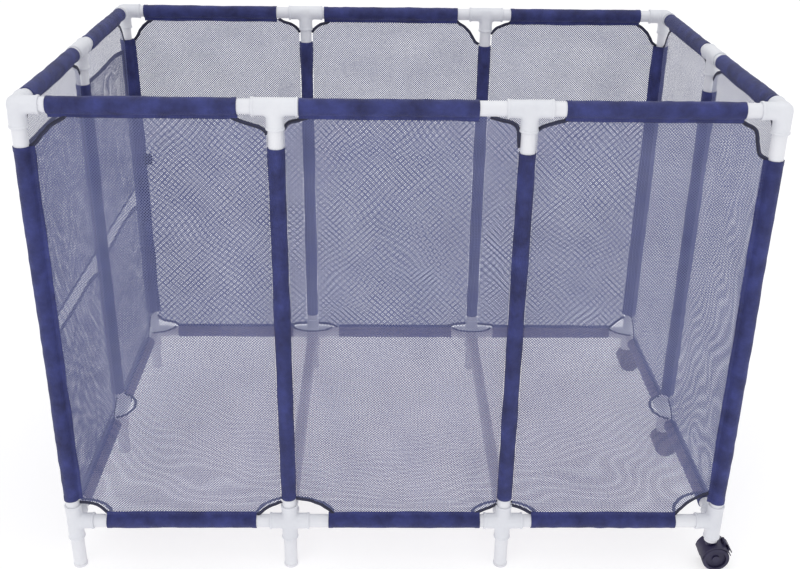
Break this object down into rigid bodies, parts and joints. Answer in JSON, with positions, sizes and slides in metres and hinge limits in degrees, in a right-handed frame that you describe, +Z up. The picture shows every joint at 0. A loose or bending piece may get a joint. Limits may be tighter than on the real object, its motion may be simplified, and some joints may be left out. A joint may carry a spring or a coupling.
{
  "type": "rolling mesh storage bin",
  "caption": "Open-topped rectangular mesh storage bin on a white push-fit pipe frame, with navy cloth sleeves, end pockets and twin-wheel casters under one end.",
  "frame": {"origin": "on the floor, under the middle of the frame", "axes": "+X to the right along the long side, towards the casters; +Y from the front to the back; +Z up"},
  "size_m": [1.234, 0.7888, 0.8894],
  "materials": {
    "pipe": "satin extruded PVC",
    "fitting": "satin moulded PVC",
    "foot_cap": "moulded",
    "sleeve_cloth": "woven coated polyester",
    "netting": "fine open netting",
    "caster_plastic": "fine moulded texture",
    "caster_wheel": "hard nylon, scuffed tread",
    "steel": "zinc plated"
  },
  "bodies": {
    "frame": {"bottom_corner_back_left": "fitting", "bottom_corner_back_right": "fitting", "bottom_corner_front_left": "fitting", "bottom_corner_front_right": "fitting", "bottom_cross_back_mid_left": "fitting", "bottom_cross_back_mid_right": "fitting", "bottom_cross_front_mid_left": "fitting", "bottom_cross_front_mid_right": "fitting", "bottom_cross_mid_left": "fitting", "bottom_cross_mid_right": "fitting", "bottom_rails_ends": "pipe", "bottom_rails_front_back": "pipe", "caster_sockets": "caster_plastic", "corner_posts": "pipe", "floor_rails": "pipe", "foot_caps": "foot_cap", "legs": "pipe", "middle_posts": "pipe", "net_back": "netting", "net_floor": "netting", "net_front": "netting", "net_left": "netting", "net_right": "netting", "pockets_lower": "netting", "pockets_upper": "netting", "sleeves_back": "sleeve_cloth", "sleeves_front": "sleeve_cloth", "sleeves_left": "sleeve_cloth", "sleeves_right": "sleeve_cloth", "top_corner_back_left": "fitting", "top_corner_back_right": "fitting", "top_corner_front_left": "fitting", "top_corner_front_right": "fitting", "top_rails_ends": "pipe", "top_rails_front_back": "pipe", "top_tee_back_mid_left": "fitting", "top_tee_back_mid_right": "fitting", "top_tee_front_mid_left": "fitting", "top_tee_front_mid_right": "fitting", "top_tee_mid_left": "fitting", "top_tee_mid_right": "fitting"},
    "caster_front_right_swivel": {"caster_front_right_hood": "caster_plastic", "caster_front_right_stem": "steel", "caster_front_right_axle": "steel"},
    "caster_front_right_front_wheel_body": {"caster_front_right_front_wheel": "caster_wheel"},
    "caster_front_right_back_wheel_body": {"caster_front_right_back_wheel": "caster_wheel"},
    "caster_front_right_brake_body": {"caster_front_right_brake_lever": "caster_plastic"},
    "caster_mid_right_swivel": {"caster_mid_right_hood": "caster_plastic", "caster_mid_right_stem": "steel", "caster_mid_right_axle": "steel"},
    "caster_mid_right_front_wheel_body": {"caster_mid_right_front_wheel": "caster_wheel"},
    "caster_mid_right_back_wheel_body": {"caster_mid_right_back_wheel": "caster_wheel"},
    "caster_mid_right_brake_body": {"caster_mid_right_brake_lever": "caster_plastic"},
    "caster_back_right_swivel": {"caster_back_right_hood": "caster_plastic", "caster_back_right_stem": "steel", "caster_back_right_axle": "steel"},
    "caster_back_right_front_wheel_body": {"caster_back_right_front_wheel": "caster_wheel"},
    "caster_back_right_back_wheel_body": {"caster_back_right_back_wheel": "caster_wheel"},
    "caster_back_right_brake_body": {"caster_back_right_brake_lever": "caster_plastic"}
  },
  "joints": [
    {"name": "caster_front_right_swivel_turn", "type": "hinge", "parent": "frame", "child": "caster_front_right_swivel", "pos_m": [0.585, -0.373, 0.054], "axis": [0, 0, 1], "continuous": true},
    {"name": "caster_front_right_front_wheel_spin", "type": "hinge", "parent": "caster_front_right_swivel", "child": "caster_front_right_front_wheel_body", "pos_m": [0.594, -0.373, 0.025], "axis": [0, 1, 0], "continuous": true},
    {"name": "caster_front_right_back_wheel_spin", "type": "hinge", "parent": "caster_front_right_swivel", "child": "caster_front_right_back_wheel_body", "pos_m": [0.594, -0.373, 0.025], "axis": [0, 1, 0], "continuous": true},
    {"name": "caster_front_right_brake_press", "type": "hinge", "parent": "caster_front_right_swivel", "child": "caster_front_right_brake_body", "pos_m": [0.61074, -0.373, 0.0518], "axis": [0, 1, 0], "range_deg": [0, 5.5]},
    {"name": "caster_mid_right_swivel_turn", "type": "hinge", "parent": "frame", "child": "caster_mid_right_swivel", "pos_m": [0.585, 0, 0.054], "axis": [0, 0, 1], "continuous": true},
    {"name": "caster_mid_right_front_wheel_spin", "type": "hinge", "parent": "caster_mid_right_swivel", "child": "caster_mid_right_front_wheel_body", "pos_m": [0.594, 0, 0.025], "axis": [0, 1, 0], "continuous": true},
    {"name": "caster_mid_right_back_wheel_spin", "type": "hinge", "parent": "caster_mid_right_swivel", "child": "caster_mid_right_back_wheel_body", "pos_m": [0.594, 0, 0.025], "axis": [0, 1, 0], "continuous": true},
    {"name": "caster_mid_right_brake_press", "type": "hinge", "parent": "caster_mid_right_swivel", "child": "caster_mid_right_brake_body", "pos_m": [0.61074, 0, 0.0518], "axis": [0, 1, 0], "range_deg": [0, 5.5]},
    {"name": "caster_back_right_swivel_turn", "type": "hinge", "parent": "frame", "child": "caster_back_right_swivel", "pos_m": [0.585, 0.373, 0.054], "axis": [0, 0, 1], "continuous": true},
    {"name": "caster_back_right_front_wheel_spin", "type": "hinge", "parent": "caster_back_right_swivel", "child": "caster_back_right_front_wheel_body", "pos_m": [0.594, 0.373, 0.025], "axis": [0, 1, 0], "continuous": true},
    {"name": "caster_back_right_back_wheel_spin", "type": "hinge", "parent": "caster_back_right_swivel", "child": "caster_back_right_back_wheel_body", "pos_m": [0.594, 0.373, 0.025], "axis": [0, 1, 0], "continuous": true},
    {"name": "caster_back_right_brake_press", "type": "hinge", "parent": "caster_back_right_swivel", "child": "caster_back_right_brake_body", "pos_m": [0.61074, 0.373, 0.0518], "axis": [0, 1, 0], "range_deg": [0, 5.5]}
  ]
}
